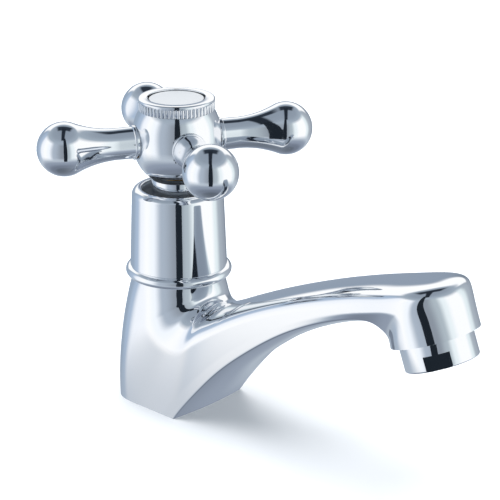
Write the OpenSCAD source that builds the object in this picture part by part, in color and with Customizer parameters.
// Basin pillar tap with a cross handle and a quarter-turn ceramic headwork.
// Frame: the origin is on the deck plane, on the valve axis. +X runs along the spout, +Z is up.

/* [Body column] */
// Height of the column's top face above the deck
col_h = 47.2; // [44:0.2:60]
// Step in from the bell's foot to the column, on the radius
col_step = 0.9; // [0.2:0.1:1.6]
// Width of the base across the spout
base_w = 34.6; // [30:0.2:42]
// Distance from the valve axis to the back of the base
base_back = 17.9; // [15.5:0.1:22]
// Wall between the tail's thread and the middle of the base's front edge
front_wall = 3.12; // [2.6:0.02:6]
// Drop from the column's top face to where the spout leaves it
crook_drop = 6; // [4:0.2:10]

/* [Spout] */
// Distance from the valve axis to the centre of the outlet ring
reach = 114.3; // [95:0.1:140]
// Height of the centre of the outlet ring above the deck
outlet_h = 56.2; // [50:0.1:68]
// Wall of the nozzle round the aerator's thread
nozzle_wall = 2.65; // [2:0.05:4]
// Lean of the nozzle's axis from upright, in degrees
nozzle_tilt = 21.7; // [12:0.1:28]
// Length of the nozzle from its ring to its crown
nozzle_l = 19; // [18.5:0.1:26]
// Width of the spout at its narrowest
spout_w = 26.2; // [22:0.2:32]
// Diameter of the waterway through the spout
waterway_d = 8; // [6:0.2:9]

/* [Headwork] */
// Diameter of the headwork's thread in the body (G 1/2)
head_thread_d = 20.96; // [20:0.02:22]
// Depth of the seat below the column's top face
head_depth = 23.2; // [19:0.2:27]
// How far the hexagon's flats stand outside the thread, on the diameter
hex_step = 3.04; // [2:0.02:6]
// Height of the hexagon
head_hex_h = 6.8; // [5:0.1:8]
// Diameter of the thread that the bell screws on
bell_thread_d = 18; // [16:0.2:20]
// Diameter of the spindle
spindle_d = 10; // [8:0.1:11]
// Width of the water gap round the cartridge's barrel
barrel_gap = 1.33; // [0.8:0.01:2]
// Thickness of each ceramic disc
disc_t = 3; // [2:0.1:3.6]

/* [Bell] */
// Height of the bell from the column's top face to its mouth
bell_h = 32; // [30:0.1:36]
// Clearance between the hexagon's corners and the inside of the bell
hex_clearance = 0.94; // [0.4:0.02:3]
// Gap between the handle's neck and the bell's mouth
mouth_gap = 3.6; // [1:0.1:5]
// Width of the rounded shoulder from the mouth to the outside of the bell
bell_lip = 3.35; // [2.8:0.05:5]
// Height of the rounded bead at the bell's foot
bead_h = 3.6; // [2.4:0.1:5]
// How far the bead stands out from the bell
bead_proud = 1.6; // [0.8:0.1:3]
// Wall of the bell at its foot
bell_wall = 2.3; // [1.8:0.1:2.6]

/* [Handle] */
// Height of the arms' axis above the bell's mouth
arm_rise = 17.4; // [16:0.1:22]
// Distance from the valve axis to the centre of each ball
ball_r_pos = 39.7; // [35:0.1:50]
// Diameter of the ball on each arm
ball_d = 18.72; // [15:0.02:24]
// Diameter of the arm's neck
arm_d = 11; // [9:0.1:13]
// Turn of the first arm from the spout's direction, in degrees
arm_turn = 61.4; // [0:0.1:90]
// Diameter of the hub at its widest
hub_d = 30.8; // [29:0.1:40]
// Wall of the neck that dips into the bell
neck_wall = 1.7; // [1.2:0.1:4]
// Depth that the neck dips below the bell's mouth
neck_dip = 4.6; // [3:0.1:5]
// Diameter of the threaded stud on each arm
stud_d = 6; // [4:0.1:7]
// Diameter over the splines of the spindle's top
spline_d = 7.8; // [6:0.1:8.4]
// Diameter of the handle screw
screw_d = 4; // [3:0.1:5]

/* [Index] */
// Width of the knurled ring's rim round the plate
index_rim = 3.58; // [2.6:0.02:6]
// Height of the knurled ring
index_h = 4.2; // [3.4:0.1:6]
// Diameter of the index plate
plate_d = 19.44; // [18:0.02:22]
// Number of grooves in the knurl
knurl_n = 56; // [40:2:72]

/* [Aerator] */
// Diameter of the aerator's thread (M24 x 1)
aerator_d = 23.9; // [22:0.1:25]
// Length of the aerator below the outlet ring
aerator_l = 8.7; // [6:0.1:12]

/* [Deck fixing] */
// Diameter of the tail (G 1/2)
tail_d = 20.96; // [20:0.02:21.4]
// Length of the tail below the deck plane
tail_l = 52; // [48:0.5:60]
// Bore of the tail
tail_bore_d = 12; // [9:0.2:14]
// Thickness of deck that the washers are set for
deck_gap = 20; // [12:0.5:24]
// Diameter of the fixing washers
washer_d = 40; // [34:0.5:46]
// How far the backnut's flats stand outside the thread, on the diameter
nut_step = 7.04; // [5:0.02:13]

/* [Hidden] */
$fn = 96;

// Clearances, all on the radius
thread_gap = 0.05;
run_gap = 0.05;
free_gap = 0.3;
eps = 0.02;
cut = 1;

// Colours
chrome = "gainsboro";
brass = "goldenrod";
rubber = "dimgray";
ceramic = "whitesmoke";
plastic = "lightslategray";
steel = "silver";

// Fits that the outer sizes follow
head_bore_r = head_thread_d / 2 + thread_gap;
barrel_wall = 1.15;
barrel_r = head_bore_r - barrel_gap;
barrel_in_r = barrel_r - barrel_wall;
disc_r = barrel_in_r - run_gap;
head_hex = head_thread_d + hex_step;
hex_corner_r = head_hex / 2 / cos(30);
bell_in_r = hex_corner_r + hex_clearance;
bell_r = bell_in_r + bell_wall;
col_r = bell_r - col_step;
spindle_r = spindle_d / 2;
gland_wall = 2;
gland_r = spindle_r + gland_wall;
neck_bore_r = gland_r + 0.4;
neck_r = neck_bore_r + neck_wall;
mouth_r = neck_r + mouth_gap;
bell_top_r = mouth_r + bell_lip;
aerator_r = aerator_d / 2;
nozzle_r = aerator_r + nozzle_wall;
tail_r = tail_d / 2;
base_front = tail_r + front_wall;
crook_h = col_h - crook_drop;
seat_h = col_h - head_depth;
index_r = plate_d / 2 + index_rim;

// ---------- Body skin ----------
// The skin is a tube swept from the column's top face, round the heel, along the spout
// and round the nose to the outlet ring. Each section lies in a plane square to Y, between
// a top point P and an under point Q, and is symmetric about the XZ plane.
half_base = base_w / 2;
half_spout = spout_w / 2;
crook_x = col_r + 4;
base_bulge = 1.9;
ring_c = [reach, outlet_h];

function mix(a, b, t) = a + (b - a) * t;
// A point in the nozzle's own axes: a along the ring, b up the barrel
function nose(a, b) = ring_c + [a * cos(nozzle_tilt) - b * sin(nozzle_tilt),
                                a * sin(nozzle_tilt) + b * cos(nozzle_tilt)];
nose_top = nose(-0.34 * nozzle_r, 1.03 * nozzle_l);
nose_under = nose(-1.12 * nozzle_r, 0.345 * nozzle_l);
// Points on the spout's top and under lines: t along the chord, lift above it
function over(t, lift) = mix([crook_x, crook_h], nose_top, t) + [0, lift];
function under(t, lift) = mix([base_front, 0], nose_under, t) + [0, lift];
function collar(out, t) = [col_r + out, mix(crook_h, col_h, t)];

// Each row: P, Q, half width, dome depth above, dome depth below, fullness above and below,
// sharpness of the lower edges, half width between those edges, crown of the underside.
// The surface passes close to the rows, not through them, so that it has no ripples.
SECTIONS = [
  [collar(0, 1), [-col_r, col_h], col_r, col_r, col_r, 2, 2, 0, 11, 3],
  [collar(0, 0.72), [-mix(base_back, col_r, 0.4), 0.8 * col_h], mix(half_base, col_r, 0.35),
    17, 18.5, 2, 2.6, 0, 13, 3],
  [collar(0.2, 0.45), [-base_back - 1.3, 0.42 * col_h], half_base + 0.9, 20, 24, 2.1, 3.2, 0, 15, 3],
  [collar(0.6, 0.2), [-base_back - 1, -4], half_base + 0.6, 21, 28, 2.1, 4.3, 0, 16, 3],
  [collar(1.6, 0.08), [3.9 - base_back, -24], half_base + 0.1, 19, 32, 2.1, 4.8, 0.3,
    half_base - 0.3, 3],
  [collar(3.4, -0.04), [0, -24], half_base, 17, 24, 2.1, 4.5, 0.9, half_base - 0.1, 3],
  [over(0.02, -0.8), [base_front - 5.1, -9.5], half_base, 15, 16, 2, 4.5, 1, half_base - 0.1, 2.4],
  [over(0.055, -0.7), under(0, -1), half_base - 0.2, 13, 12, 2, 4.5, 1, half_base - 0.1, 2.4],
  [over(0.1, -0.6), under(0.1, 3.2), mix(half_base, half_spout, 0.27), 10.5, 10, 2.1, 4.5, 1,
    mix(half_base, half_spout, 0.25), 2.6],
  [over(0.19, 0.4), under(0.234, 7.7), mix(half_base, half_spout, 0.5), 8, 8, 2.2, 4.5, 1,
    mix(half_base, half_spout, 0.48), 3],
  [over(0.34, 1.5), under(0.393, 9.7), mix(half_base, half_spout, 0.72), 6.5, 7, 2.3, 4.5, 1,
    mix(half_base, half_spout, 0.72), 3],
  [over(0.51, 2.1), under(0.565, 10.6), mix(half_base, half_spout, 0.9), 6, 6, 2.3, 4.5, 1,
    mix(half_base, half_spout, 0.9), 3],
  [over(0.69, 2.2), under(0.761, 8.1), half_spout, 6, 5, 2.3, 4.5, 1, half_spout - 0.1, 3],
  [over(0.86, 1.3), under(0.92, 4.2), mix(half_spout, nozzle_r, 0.07), 5.5, 5, 2.5, 4.5, 1,
    half_spout - 0.6, 3],
  [nose_top, nose_under + [0, 0.6], mix(half_spout, nozzle_r, 0.5), 6.5, 7, 2.7, 3, 1,
    0.8 * nozzle_r, 3.4],
  [nose(0.5 * nozzle_r, 0.93 * nozzle_l), nose(-0.985 * nozzle_r, 0.21 * nozzle_l),
    nozzle_r, 8.5, 15, 4, 2.2, 0.7, 0.74 * nozzle_r, 4],
  [nose(1.02 * nozzle_r, 0.82 * nozzle_l), nose(-0.97 * nozzle_r, 0.07 * nozzle_l),
    nozzle_r, 18, 18, 2.1, 2, 0.3, 0.71 * nozzle_r, 4.4],
  [nose(1.005 * nozzle_r, 0.4 * nozzle_l), nose(-0.985 * nozzle_r, 0.03 * nozzle_l),
    nozzle_r, 18, 18, 2, 2, 0, 0.71 * nozzle_r, 4.3],
  [nose(nozzle_r, 0), nose(-nozzle_r, 0), nozzle_r, nozzle_r, nozzle_r, 2, 2, 0,
    0.71 * nozzle_r, 4.3],
];
span_steps = 3;
dome_steps = 20;
wall_steps = 15;
under_steps = 6;

// The rows steer a uniform cubic B-spline, which starts on the first row and ends on the last
function blend(a, b, c, d, t) =
  (pow(1 - t, 3) * a + (3 * t * t * t - 6 * t * t + 4) * b
   + (-3 * t * t * t + 3 * t * t + 3 * t + 1) * c + t * t * t * d) / 6;
function flat(row) = [row[0][0], row[0][1], row[1][0], row[1][1], for (i = [2:len(row) - 1]) row[i]];
rows = [for (row = SECTIONS) flat(row)];
last_row = len(rows) - 1;
steered = concat([2 * rows[0] - rows[1]], rows, [2 * rows[last_row] - rows[last_row - 1]]);
sections = [for (i = [0:last_row - 1], s = [0:span_steps - 1])
              blend(steered[i], steered[i + 1], steered[i + 2], steered[i + 3], s / span_steps),
            rows[last_row]];

// Half of a section as [half width, distance from P towards Q], in two runs: P to the lower
// edge, and on from that edge to Q. Each run is then drawn with points spaced evenly along it.
function upper_half(w, d, n) =
  [for (i = [0:dome_steps]) let (a = 90 * i / dome_steps)
    [w * pow(sin(a), 2 / n), d * (1 - pow(cos(a), 2 / n))]];
function lower_point(t, w, d, n, edge, half_edge, crown) =
  let (a = 90 * t,
       round_pt = [w * pow(cos(a), 2 / n), d * pow(sin(a), 2 / n)],
       u = 2 * t - 1,
       edge_pt = t <= 0.5 ? [mix(w, half_edge, 2 * t), (d - crown) * 2 * t]
                          : [half_edge * (1 - u), d - crown * (1 - u) * (1 - u)])
  mix(round_pt, edge_pt, edge);
function travel(pts, i = 0, sum = 0) =
  i == len(pts) - 1 ? [sum] : concat([sum], travel(pts, i + 1, sum + norm(pts[i + 1] - pts[i])));
function evenly(pts, n) =
  let (way = travel(pts),
       across = [for (i = [0:len(pts) - 1]) [way[i], pts[i][0]]],
       down = [for (i = [0:len(pts) - 1]) [way[i], pts[i][1]]])
  [for (i = [0:n]) let (d = way[len(pts) - 1] * i / n) [lookup(d, across), lookup(d, down)]];
function half_section(s) =
  let (span = norm([s[2] - s[0], s[3] - s[1]]),
       squeeze = min(1, span / (s[5] + s[6])),
       up = s[5] * squeeze,
       low = s[6] * squeeze,
       lower = [for (i = [0:2 * dome_steps])
                 let (p = lower_point(i / dome_steps / 2, s[4], low, s[8], s[9], s[10], s[11]))
                 [p[0], span - low + p[1]]],
       wall = concat(upper_half(s[4], up, s[7]), [for (i = [0:dome_steps]) lower[i]]),
       floor_run = [for (i = [dome_steps:2 * dome_steps]) lower[i]],
       under_points = evenly(floor_run, under_steps))
  concat(evenly(wall, wall_steps), [for (i = [1:under_steps]) under_points[i]]);
function section_ring(s) =
  let (half = half_section(s),
       dir = [s[2] - s[0], s[3] - s[1]] / norm([s[2] - s[0], s[3] - s[1]]),
       last = len(half) - 1)
  [for (p = half) [s[0] + dir[0] * p[1], p[0], s[1] + dir[1] * p[1]],
   for (i = [last - 1:-1:1])
     [s[0] + dir[0] * half[i][1], -half[i][0], s[1] + dir[1] * half[i][1]]];

module skin() {
  rings = [for (s = sections) section_ring(s)];
  n = len(rings[0]);
  last = len(rings) - 1;
  sides = [for (j = [0:last - 1], i = [0:n - 1]) each
            let (k = (i + 1) % n)
            [[j * n + i, (j + 1) * n + i, (j + 1) * n + k], [j * n + i, (j + 1) * n + k, j * n + k]]];
  caps = [[for (i = [0:n - 1]) i], [for (i = [n - 1:-1:0]) last * n + i]];
  polyhedron([for (r = rings) each r], concat(sides, caps), convexity = 6);
}

// ---------- Shared places ----------
tail_bore_top = seat_h - 10;
tail_top = tail_bore_top - 1.4;
inlet_r = tail_bore_d / 2;
base_rim = 1.6;
gasket_t = 1.2;

nut_t = 8.5;
rubber_t = 2.5;
plate_washer_t = 1.5;
rubber_top = -deck_gap;
plate_washer_top = rubber_top - rubber_t;
nut_top = plate_washer_top - plate_washer_t;
groove_h = 0.8;
groove_top = nut_top - nut_t - 0.2;

// Headwork levels
seal_t = 1.2;
hex_z = col_h + seal_t;
bell_thread_z = hex_z + head_hex_h;
barrel_z = seat_h + 1.2;
seat_seal_t = 2.4;
disc_z = seat_h + seat_seal_t;
rotor_z = disc_z + disc_t + run_gap;
foot_z = rotor_z + disc_t;
foot_t = 3;
foot_r = disc_r - 0.35;
thrust_z = foot_z + foot_t + run_gap;
thrust_t = 0.8;
bell_land_z = bell_thread_z + 2.4;
bell_land_h = 6.4;
gland_z = bell_land_z + bell_land_h + 2;
mouth_z = col_h + bell_h;
neck_z = mouth_z - neck_dip;
gland_top = neck_z - 2;
clip_z = gland_top + 0.2;
clip_t = 1;
arm_z = mouth_z + arm_rise;

// Handle levels
hub_foot_z = arm_z - 13.2;
hub_half_h = 16.4;
hub_full = 2.3;
hub_top_z = arm_z + 10.6;
bush_z = neck_z + 2.4;
web_z = arm_z - 4.1;
web_t = 4;
bush_r = spline_d / 2 + 2.1;
screw_washer_t = 0.6;
screw_washer_z = web_z + web_t;
screw_head_z = screw_washer_z + screw_washer_t;
screw_head_h = 2.6;
screw_head_r = 0.9 * screw_d;
arm_seat = hub_d / 2 - 1;
stud_in = bush_r + 3;
pocket_r = stud_in - 2.4;
ring_spigot_h = 2.8;
ring_spigot_r = plate_d / 2 + 0.26;
ring_z = hub_top_z + run_gap;
ring_top_z = ring_z + index_h;
plate_t = 1.9;
plate_seat_z = ring_top_z - plate_t - 0.2;
screw_in = 12;
spline_z = clip_z + clip_t + 0.6;
spindle_top = web_z - 0.5;

// Aerator places, along the nozzle's axis with 0 at the ring and down negative
aerator_thread_h = 6.7;
aerator_gasket_t = 2;
nozzle_pocket = aerator_thread_h + aerator_gasket_t;
aerator_wall = 1.5;
insert_r = aerator_r - aerator_wall - run_gap;

module at_nozzle() {
  translate([reach, 0, outlet_h]) rotate([0, -nozzle_tilt, 0]) children();
}
module tube(h, r_out, r_in) {
  difference() {
    cylinder(h = h, r = r_out);
    translate([0, 0, -cut]) cylinder(h = h + 2 * cut, r = r_in);
  }
}
module hexagon(across, h) {
  cylinder(h = h, d = across / cos(30), $fn = 6);
}
function arc(c, r, a0, a1, n) =
  [for (i = [0:n]) let (a = mix(a0, a1, i / n)) c + r * [cos(a), sin(a)]];

// Outline of the base on the deck, drawn in by d
corner_r = 7.6;
function base_outline(d) =
  let (w = half_base - d, back = base_back - d, r = corner_r - d, front = base_front - base_bulge - d)
  concat([for (i = [0:12]) let (t = i / 6 - 1) [front + base_bulge * (1 - t * t), w * t]],
         arc([-back + r, w - r], r, 90, 180, 6),
         arc([-back + r, r - w], r, 180, 270, 6));

// ---------- Fixed pieces ----------
// The waterway is two drillings that meet in the middle of the spout
waterway_knee = (SECTIONS[12][0] + SECTIONS[12][1]) / 2;
module drilling(from, to, d) {
  run = to - from;
  translate([from[0], 0, from[1]]) rotate([0, 90 - atan2(run[1], run[0]), 0])
    cylinder(h = norm(run) + 1.5, d = d);
}
module waterway() {
  drilling([0, seat_h + 2], waterway_knee, waterway_d);
  drilling(waterway_knee, nose(-0.5 * nozzle_r, 0.7 * nozzle_l), waterway_d - 0.6);
}

module body() {
  color(chrome) difference() {
    skin();
    translate([-100, -50, -50]) cube([250, 100, 50]);
    translate([0, 0, -cut]) linear_extrude(gasket_t + cut) polygon(base_outline(base_rim));
    translate([0, 0, -cut]) cylinder(h = tail_bore_top + cut, r = tail_r + thread_gap);
    cylinder(h = seat_h + cut, r = inlet_r);
    translate([0, 0, seat_h]) cylinder(h = col_h - seat_h + cut, r = head_bore_r);
    waterway();
    at_nozzle() {
      translate([0, 0, -cut]) cylinder(h = nozzle_pocket + cut, r = aerator_r + thread_gap);
      cylinder(h = 0.75 * nozzle_l, r = aerator_r - 2.5);
    }
  }
}

// A fine groove under the backnut marks the end of the connector's thread
module tail() {
  color(brass) difference() {
    union() {
      translate([0, 0, -tail_l + 1]) cylinder(h = tail_top + tail_l - 1, d = tail_d);
      translate([0, 0, -tail_l]) cylinder(h = 1, d1 = tail_d - 2, d2 = tail_d);
    }
    translate([0, 0, -tail_l - cut]) cylinder(h = tail_top + tail_l + 2 * cut, r = inlet_r);
    translate([0, 0, groove_top - groove_h]) tube(groove_h, tail_r + cut, tail_r - 0.6);
  }
}
module tail_seal() {
  color(rubber) translate([0, 0, tail_top]) tube(tail_bore_top - tail_top, tail_r - 0.3, inlet_r + 0.6);
}
module base_gasket() {
  color(rubber) difference() {
    linear_extrude(gasket_t) polygon(base_outline(base_rim + 0.1));
    translate([0, 0, -cut]) cylinder(h = gasket_t + 2 * cut, r = tail_r + 0.3);
  }
}
module rubber_washer() {
  color(rubber) translate([0, 0, plate_washer_top]) tube(rubber_t, washer_d / 2, tail_r + 0.4);
}
module fixing_washer() {
  color(steel) translate([0, 0, nut_top]) tube(plate_washer_t, washer_d / 2 - 1, tail_r + 0.4);
}
module backnut() {
  nut_hex = tail_d + nut_step;
  color(brass) translate([0, 0, nut_top - nut_t]) difference() {
    union() {
      hexagon(nut_hex, nut_t);
      translate([0, 0, nut_t - 1.6]) cylinder(h = 1.6, d = nut_hex + 5);
    }
    translate([0, 0, -cut]) cylinder(h = nut_t + 2 * cut, r = tail_r + thread_gap);
  }
}

module headwork_body() {
  window_w = 6;
  color(brass) difference() {
    union() {
      translate([0, 0, barrel_z]) cylinder(h = hex_z - barrel_z, r = barrel_r);
      translate([0, 0, thrust_z]) cylinder(h = hex_z - thrust_z, d = head_thread_d);
      translate([0, 0, hex_z]) hexagon(head_hex, head_hex_h);
      translate([0, 0, bell_thread_z]) cylinder(h = gland_z - bell_thread_z, d = bell_thread_d);
      translate([0, 0, gland_z - eps]) cylinder(h = gland_top - gland_z + eps, r = gland_r);
    }
    translate([0, 0, barrel_z - cut])
      cylinder(h = thrust_z + thrust_t - barrel_z + cut, r = barrel_in_r);
    translate([0, 0, barrel_z]) cylinder(h = gland_top - barrel_z + cut, r = spindle_r + run_gap);
    translate([-window_w / 2, -barrel_r - cut, rotor_z + 0.6])
      cube([window_w, 2 * (barrel_r + cut), thrust_z - rotor_z - 1.2]);
  }
}
module headwork_seal() {
  color(rubber) translate([0, 0, col_h]) tube(seal_t, head_hex / 2 + 1, head_bore_r + 0.3);
}
module seat_seal() {
  color(rubber) translate([0, 0, seat_h]) tube(seat_seal_t, disc_r, inlet_r + 0.2);
}
module disc_with_ports(z, r) {
  translate([0, 0, z]) difference() {
    cylinder(h = disc_t, r = r);
    for (side = [-1, 1])
      translate([side * 0.5 * disc_r, 0, -cut]) cylinder(h = disc_t + 2 * cut, r = 0.38 * disc_r);
  }
}
module ceramic_disc_fixed() {
  color(ceramic) disc_with_ports(disc_z, disc_r);
}
module thrust_washer() {
  color(plastic) translate([0, 0, thrust_z]) tube(thrust_t, foot_r, spindle_r + 0.3);
}

// The bell is one turned piece: bead, tapered wall, rounded shoulder, and a threaded land inside
module bell_shroud() {
  bead_r = bead_h / 2;
  shoulder = 2.6;
  top_in = bell_top_r - 1.8;
  land_r = bell_thread_d / 2 + thread_gap;
  land_top = bell_land_z + bell_land_h;
  color(chrome) rotate_extrude() polygon(concat(
    [[bell_in_r, col_h]],
    arc([bell_r + bead_proud - bead_r, col_h + bead_r], bead_r, -90, 75, 10),
    [[bell_r, col_h + bead_h + 0.3]],
    arc([bell_top_r - shoulder, mouth_z - shoulder], shoulder, 0, 90, 10),
    [[mouth_r, mouth_z], [mouth_r, mouth_z - 1.6], [top_in, mouth_z - 4.2],
     [top_in, land_top], [land_r, land_top], [land_r, bell_land_z], [bell_in_r, bell_land_z]]));
}

module aerator_housing() {
  flat_w = 22.6;
  flat_turn = 35;
  color(chrome) at_nozzle() difference() {
    union() {
      translate([0, 0, -free_gap]) cylinder(h = aerator_thread_h + free_gap, r = aerator_r);
      translate([0, 0, -aerator_l]) cylinder(h = aerator_l - free_gap, r = aerator_r + 0.13);
    }
    translate([0, 0, -aerator_l - cut])
      cylinder(h = aerator_l + aerator_thread_h + 2 * cut, r = aerator_r - aerator_wall);
    for (side = [-1, 1]) rotate([0, 0, flat_turn])
      translate([-5, side * (flat_w / 2 + 5) - 5, -aerator_l - cut]) cube([10, 10, 5 + cut]);
  }
}
module aerator_gasket() {
  color(rubber) at_nozzle() translate([0, 0, aerator_thread_h])
    tube(aerator_gasket_t, aerator_r - 0.1, aerator_r - 2.4);
}
// A grid of round holes, in rings of six
module hole_rings(rings, pitch, d, h) {
  cylinder(h = h, d = d);
  for (k = [1:rings], i = [0:6 * k - 1])
    rotate([0, 0, 360 * i / (6 * k)]) translate([k * pitch, 0, 0]) cylinder(h = h, d = d);
}
module aerator_insert() {
  color(plastic) at_nozzle() translate([0, 0, 1.2 - aerator_l]) difference() {
    cylinder(h = aerator_l + aerator_thread_h - 2, r = insert_r);
    translate([0, 0, 2.4]) cylinder(h = aerator_l + aerator_thread_h, r = insert_r - 1.2);
    translate([0, 0, -cut]) hole_rings(3, 2.75, 2, 6);
  }
}
module aerator_screen() {
  color(steel) at_nozzle() translate([0, 0, aerator_thread_h - 0.8]) difference() {
    cylinder(h = 0.5, r = insert_r);
    translate([0, 0, -cut]) hole_rings(3, 2.75, 1.5, 3);
  }
}

// ---------- Turning pieces ----------
function hub_r(z) =
  hub_d / 2 * pow(1 - pow(abs(z - arm_z - 0.4) / hub_half_h, hub_full), 1 / hub_full);
module handle_hub() {
  steps = 20;
  wall = [for (i = [0:steps]) let (z = mix(hub_foot_z, hub_top_z, i / steps)) [hub_r(z), z]];
  color(chrome) difference() {
    rotate_extrude() polygon(concat(
      [[0, neck_z], [neck_r - 0.5, neck_z], [neck_r, neck_z + 0.5], [neck_r, hub_foot_z - 0.5]],
      wall, [[0, hub_top_z]]));
    translate([0, 0, neck_z - cut]) cylinder(h = bush_z - neck_z + cut, r = neck_bore_r);
    translate([0, 0, bush_z - cut]) cylinder(h = web_z - bush_z + cut, r = bush_r + eps);
    cylinder(h = arm_z + cut, d = screw_d + 0.6);
    translate([0, 0, screw_washer_z]) cylinder(h = 20, r = pocket_r);
    translate([0, 0, hub_top_z - ring_spigot_h - 0.3]) cylinder(h = 20, r = ring_spigot_r + thread_gap);
    for (i = [0:3]) translate([0, 0, arm_z]) rotate([0, 90, arm_turn + 90 * i]) {
      translate([0, 0, stud_in - 0.3]) cylinder(h = 20, d = stud_d + 2 * thread_gap);
      translate([0, 0, arm_seat]) cylinder(h = 20, d = arm_d + 1.2);
    }
  }
}
// One arm: stud, collar, neck, and a fillet that runs into the ball
module arm(i) {
  ball_r = ball_d / 2;
  arm_r = arm_d / 2;
  fillet = 36;
  fillet_run = sqrt(pow(fillet + ball_r, 2) - pow(arm_r + fillet, 2));
  fillet_c = [arm_r + fillet, ball_r_pos - fillet_run];
  meet = atan2(fillet_run, arm_r + fillet);
  color(chrome) translate([0, 0, arm_z]) rotate([0, 90, arm_turn + 90 * i]) rotate_extrude()
    polygon(concat(
      [[0, stud_in], [stud_d / 2, stud_in], [stud_d / 2, arm_seat], [arm_r + 0.5, arm_seat],
       [arm_r + 0.5, arm_seat + 1.6], [arm_r + 0.1, arm_seat + 2]],
      arc(fillet_c, fillet, 180, 180 - meet, 10),
      [for (k = [1:16]) let (a = mix(-meet, 90, k / 16))
        [ball_r * cos(a) * (k == 16 ? 0 : 1), ball_r_pos + ball_r * sin(a)]]));
}
module arm_1() { arm(0); }
module arm_2() { arm(1); }
module arm_3() { arm(2); }
module arm_4() { arm(3); }

module index_ring() {
  rim = 0.7;
  color(chrome) difference() {
    rotate_extrude() polygon([
      [ring_spigot_r - 2, ring_z - ring_spigot_h], [ring_spigot_r, ring_z - ring_spigot_h],
      [ring_spigot_r, ring_z], [index_r - 0.3, ring_z], [index_r, ring_z + 0.3],
      [index_r, ring_top_z - rim], [index_r - rim, ring_top_z], [plate_d / 2 + 0.33, ring_top_z],
      [plate_d / 2 + 0.33, plate_seat_z], [ring_spigot_r - 2, plate_seat_z]]);
    for (i = [0:knurl_n - 1])
      rotate([0, 0, 360 * i / knurl_n]) translate([index_r + 0.18, 0, ring_z - cut])
        cylinder(h = index_h - rim - 0.1 + cut, r = 0.5, $fn = 24);
  }
}
module index_plate() {
  color(ceramic) translate([0, 0, plate_seat_z]) cylinder(h = plate_t, d = plate_d);
}
module handle_screw() {
  shank = screw_head_z - (spindle_top - screw_in + 1);
  color(steel) difference() {
    union() {
      translate([0, 0, screw_head_z - shank]) cylinder(h = shank + eps, d = screw_d);
      translate([0, 0, screw_head_z]) cylinder(h = screw_head_h, r = screw_head_r);
    }
    translate([0, 0, screw_head_z + screw_head_h - 1.6]) hexagon(0.75 * screw_d, 3);
  }
}
module screw_washer() {
  color(steel) translate([0, 0, screw_washer_z]) tube(screw_washer_t, screw_head_r + 1.2, screw_d / 2 + 0.3);
}
module spline_bush() {
  color(plastic) translate([0, 0, bush_z + 0.3])
    tube(web_z - bush_z - 0.3, bush_r, spline_d / 2 + eps);
}
oring_d = 1.8;
groove_in = spindle_r - oring_d;
oring_zs = [gland_top - 19, gland_top - 13];
module spindle() {
  color(brass) difference() {
    union() {
      translate([0, 0, foot_z]) cylinder(h = foot_t, r = foot_r);
      translate([0, 0, foot_z]) cylinder(h = spline_z - foot_z, r = spindle_r);
      translate([0, 0, spline_z - eps]) cylinder(h = spindle_top - spline_z + eps, d = spline_d);
    }
    translate([0, 0, spindle_top - screw_in]) cylinder(h = screw_in + cut, d = screw_d + 2 * eps);
    for (z = oring_zs) translate([0, 0, z]) tube(oring_d, spindle_r + cut, groove_in);
    translate([0, 0, clip_z]) tube(clip_t, spindle_r + cut, spindle_r - 0.8);
  }
}
module spindle_orings() {
  color(rubber) for (z = oring_zs)
    rotate_extrude() translate([groove_in + oring_d / 2, z + oring_d / 2])
      circle(d = oring_d - 2 * eps, $fn = 32);
}
module spindle_circlip() {
  color(steel) translate([0, 0, clip_z + eps]) difference() {
    tube(clip_t - 2 * eps, gland_r - 0.6, spindle_r - 0.8 + eps);
    translate([0, -1.2, -cut]) cube([10, 2.4, 3]);
  }
}
module ceramic_disc_rotor() {
  color(ceramic) rotate([0, 0, 90]) disc_with_ports(rotor_z, foot_r);
}

body();
headwork_body();
headwork_seal();
seat_seal();
ceramic_disc_fixed();
thrust_washer();
bell_shroud();
aerator_housing();
aerator_gasket();
aerator_insert();
aerator_screen();
tail();
tail_seal();
base_gasket();
rubber_washer();
fixing_washer();
backnut();
handle_hub();
arm_1();
arm_2();
arm_3();
arm_4();
index_ring();
index_plate();
handle_screw();
screw_washer();
spline_bush();
spindle();
spindle_orings();
spindle_circlip();
ceramic_disc_rotor();
